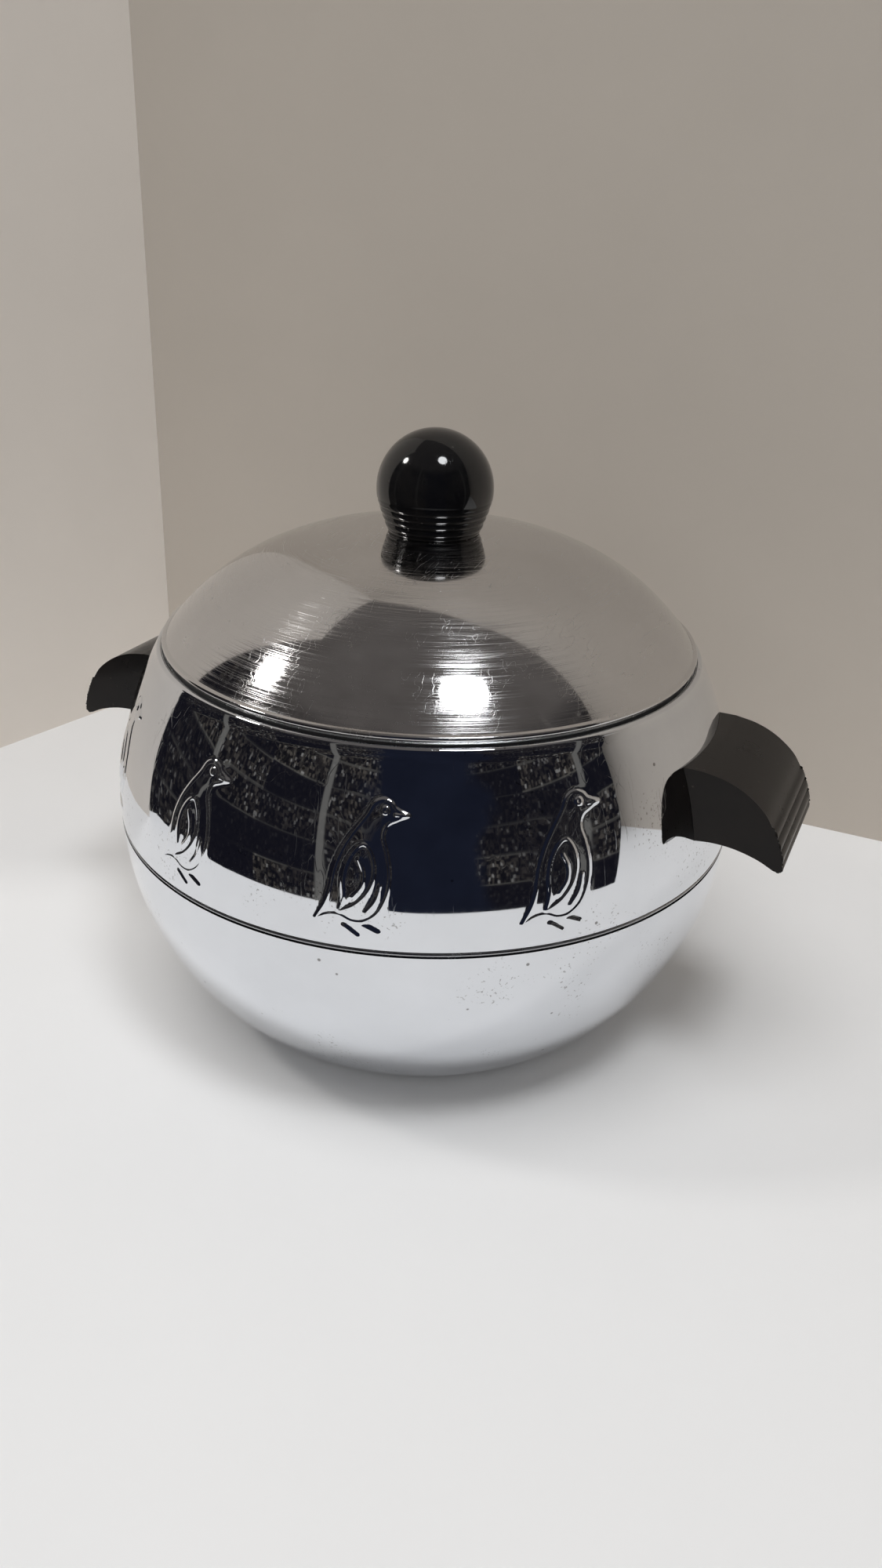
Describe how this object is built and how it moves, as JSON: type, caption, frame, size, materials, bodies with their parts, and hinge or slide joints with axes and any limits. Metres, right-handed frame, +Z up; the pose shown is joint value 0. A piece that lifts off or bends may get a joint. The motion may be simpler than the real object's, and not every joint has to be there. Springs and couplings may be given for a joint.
{
  "type": "ice bucket",
  "caption": "Round double-walled chromed metal ice bucket with side handles and a lift-off domed lid with a ball knob; keeps ice cold or food warm.",
  "frame": {"origin": "centre of the foot ring, on the surface the bucket stands on", "axes": "+Z up, handles along X, front and back along Y"},
  "size_m": [0.2486, 0.203, 0.1939],
  "materials": {
    "chrome_body": "mirror chrome plate, lightly scratched",
    "chrome_band": "chrome plate, dull in the grooves",
    "chrome_lid": "polished chrome with fine circular polish lines",
    "liner_metal": "brushed",
    "pan_metal": "satin, spun",
    "handle_plastic": "satin black phenolic, slightly brown with age",
    "knob_plastic": "glossy black phenolic",
    "seal_rubber": "matt",
    "insulation_wool": "soft glass wool",
    "cork_pad": "pressed cork",
    "fastener_steel": "zinc plated",
    "insert_brass": "turned"
  },
  "bodies": {
    "bucket": {"lower_shell": "chrome_body", "upper_shell": "chrome_body", "seam_band": "chrome_band", "liner_seal": "seal_rubber", "inner_liner": "liner_metal", "support_pad": "cork_pad", "lower_insulation": "insulation_wool", "upper_insulation": "insulation_wool", "handle_left": "handle_plastic", "handle_inserts_left": "insert_brass", "handle_saddle_left": "fastener_steel", "handle_washers_left": "fastener_steel", "handle_screws_left": "fastener_steel", "handle_right": "handle_plastic", "handle_inserts_right": "insert_brass", "handle_saddle_right": "fastener_steel", "handle_washers_right": "fastener_steel", "handle_screws_right": "fastener_steel"},
    "lid": {"lid_shell": "chrome_lid", "lid_pan": "pan_metal", "lid_insulation": "insulation_wool", "knob": "knob_plastic", "knob_insert": "insert_brass", "knob_screw": "fastener_steel", "knob_flat_washer": "fastener_steel", "knob_lock_washer": "fastener_steel"}
  },
  "joints": [
    {"name": "lid_lift", "type": "slide", "parent": "bucket", "child": "lid", "axis": [0, 0, 1], "range_m": [0, 0.15]}
  ]
}
